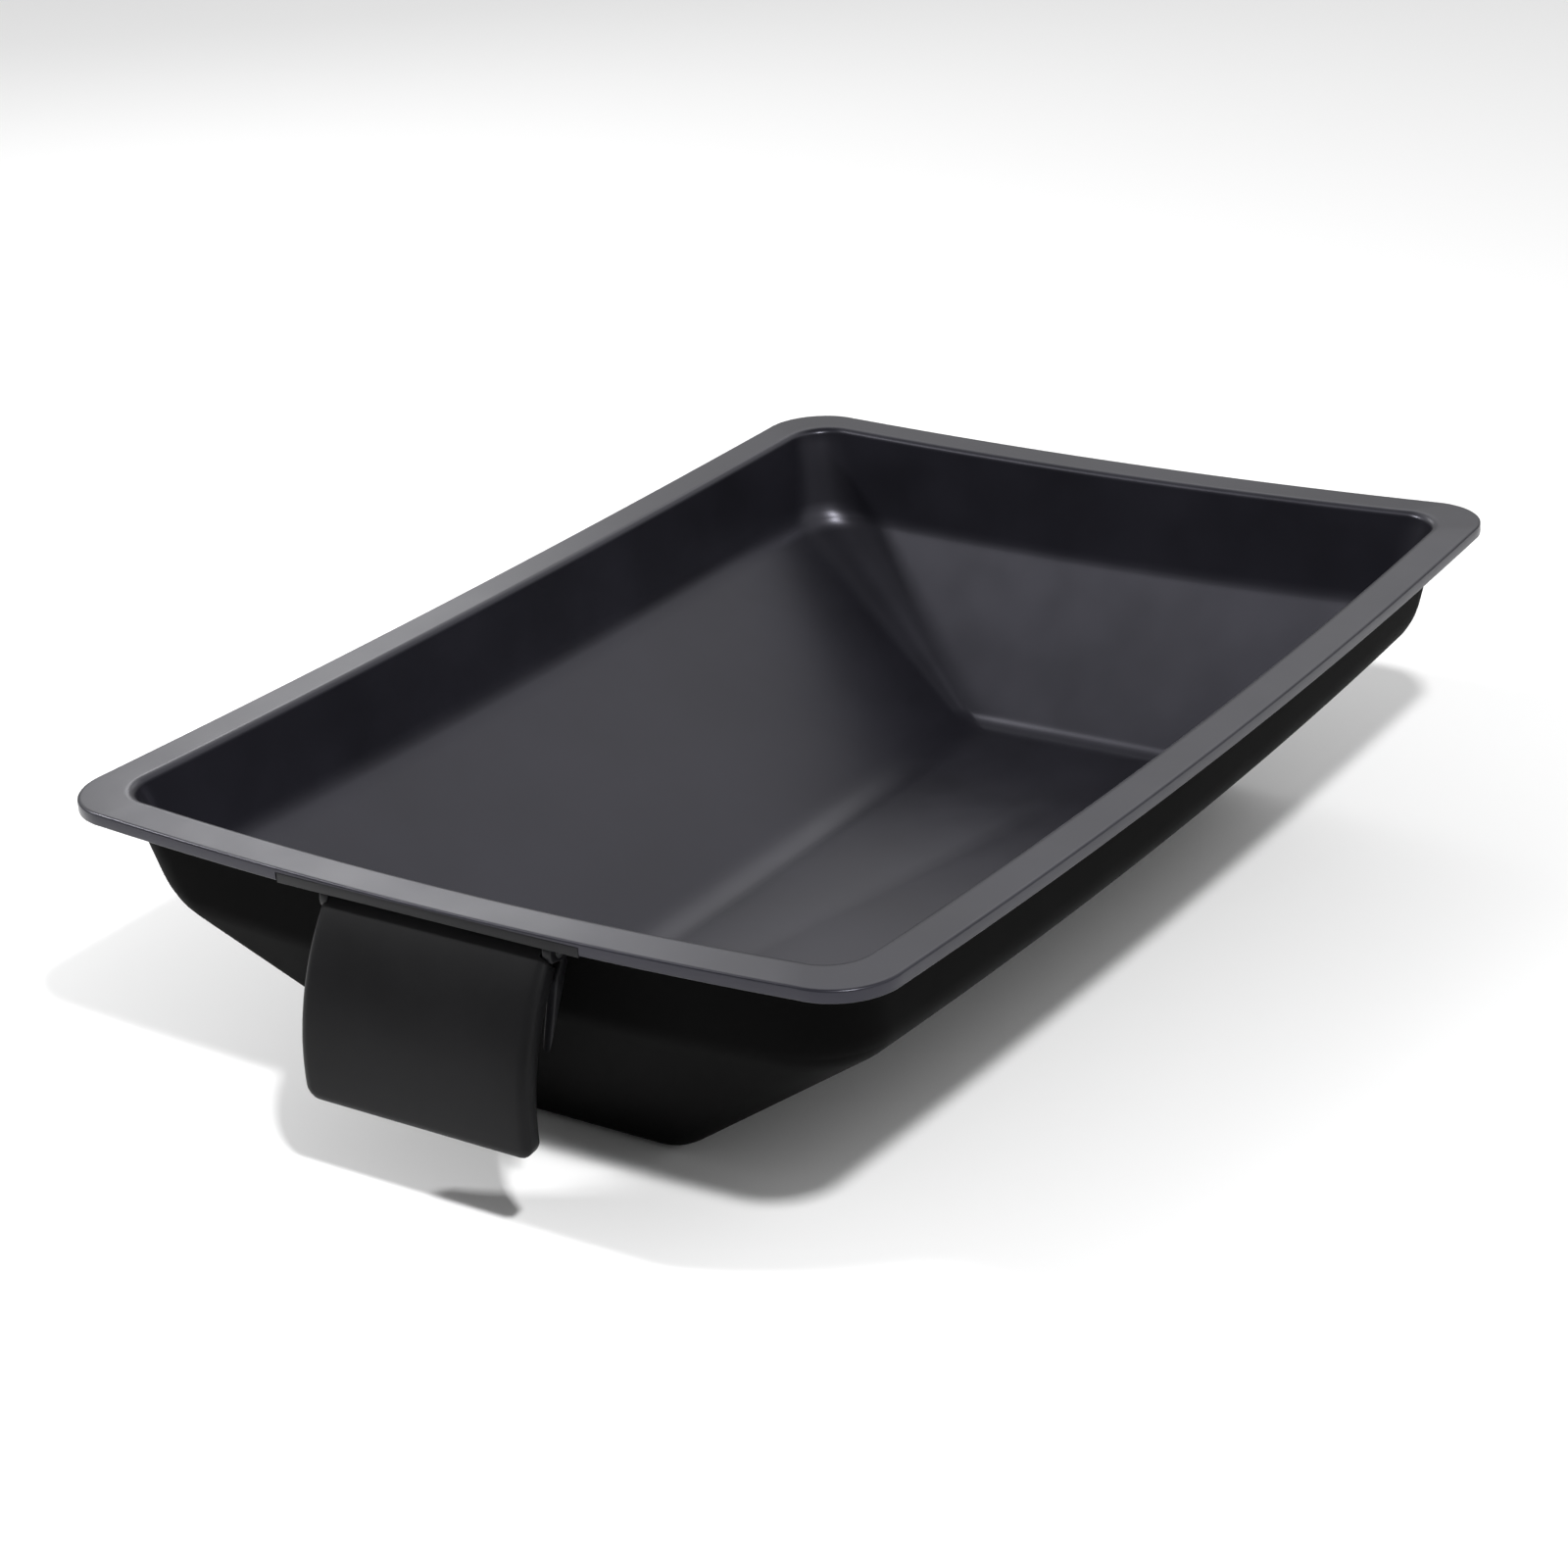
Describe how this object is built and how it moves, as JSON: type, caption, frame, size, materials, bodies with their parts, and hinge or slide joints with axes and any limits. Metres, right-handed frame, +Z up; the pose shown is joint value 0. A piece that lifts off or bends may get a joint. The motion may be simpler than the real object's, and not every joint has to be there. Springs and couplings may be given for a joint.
{
  "type": "paint roller tray",
  "caption": "Deep rectangular paint tray with sloped sides down to a narrow trough, a turned-down rim and a hinged hand grip under one end.",
  "frame": {"origin": "middle of the pan's flat underside, which is what it stands on", "axes": "+Z up, X across the pan, Y along it, with the hand grip at the -Y end"},
  "size_m": [0.2846, 0.4186, 0.094],
  "materials": {
    "pan_plastic": "satin, finely textured",
    "bracket_plastic": "satin, finely textured",
    "grip_plastic": "satin, finely textured",
    "pin_steel": "bright drawn"
  },
  "bodies": {
    "tray": {"tray_pan": "pan_plastic", "handle_bracket": "bracket_plastic", "hinge_pin": "pin_steel"},
    "grip": {"grip_handle": "grip_plastic"}
  },
  "joints": [
    {"name": "grip_swing", "type": "hinge", "parent": "tray", "child": "grip", "pos_m": [0, -0.1951, 0.0834], "axis": [-1, 0, 0], "range_deg": [0, 40]}
  ]
}
